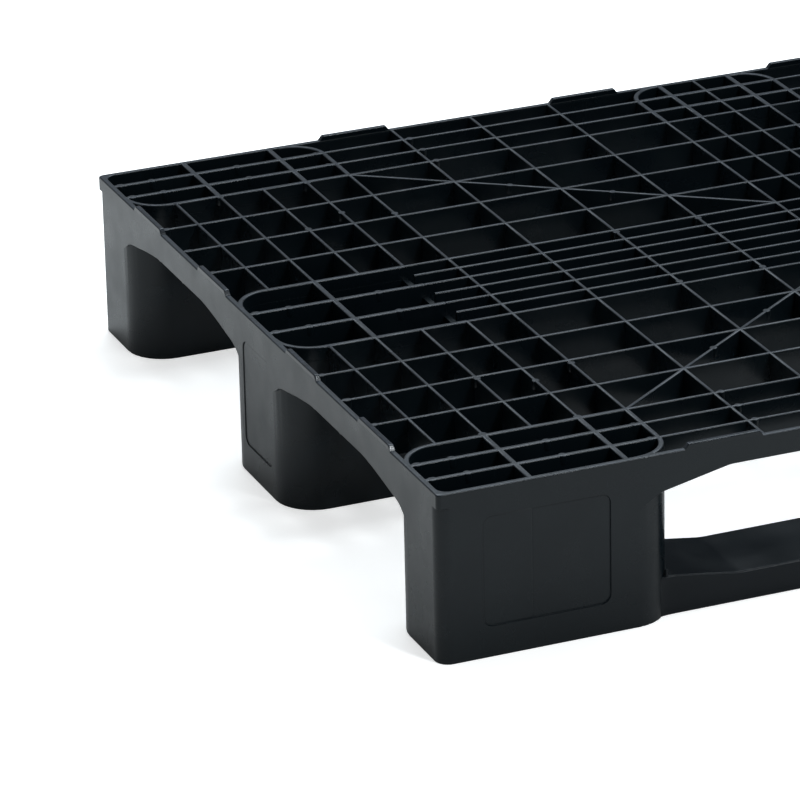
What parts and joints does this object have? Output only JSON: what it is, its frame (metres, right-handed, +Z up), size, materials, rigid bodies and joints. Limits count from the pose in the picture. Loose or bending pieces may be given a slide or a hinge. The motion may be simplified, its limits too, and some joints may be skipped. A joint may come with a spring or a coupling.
{
  "type": "plastic pallet",
  "caption": "Open-grid black plastic pallet with hollow round-cornered feet, raised rim lips and flat bottom runners.",
  "frame": {"origin": "on the floor, under the middle of the pallet", "axes": "+X along the long side and the runners, +Y along the short side, +Z up"},
  "size_m": [1.2, 0.8, 0.1545],
  "materials": {
    "deck_plastic": "black moulded plastic with a slight sheen",
    "runner_plastic": "black moulded plastic, slightly greyer than the deck",
    "screw_steel": "zinc-plated steel"
  },
  "bodies": {
    "root": {"deck": "deck_plastic", "runner_front": "runner_plastic", "runner_middle": "runner_plastic", "runner_rear": "runner_plastic", "screw_front_left_1": "screw_steel", "screw_front_left_2": "screw_steel", "screw_front_centre_1": "screw_steel", "screw_front_centre_2": "screw_steel", "screw_front_right_1": "screw_steel", "screw_front_right_2": "screw_steel", "screw_middle_left_1": "screw_steel", "screw_middle_left_2": "screw_steel", "screw_middle_centre_1": "screw_steel", "screw_middle_centre_2": "screw_steel", "screw_middle_right_1": "screw_steel", "screw_middle_right_2": "screw_steel", "screw_rear_left_1": "screw_steel", "screw_rear_left_2": "screw_steel", "screw_rear_centre_1": "screw_steel", "screw_rear_centre_2": "screw_steel", "screw_rear_right_1": "screw_steel", "screw_rear_right_2": "screw_steel"}
  },
  "joints": []
}
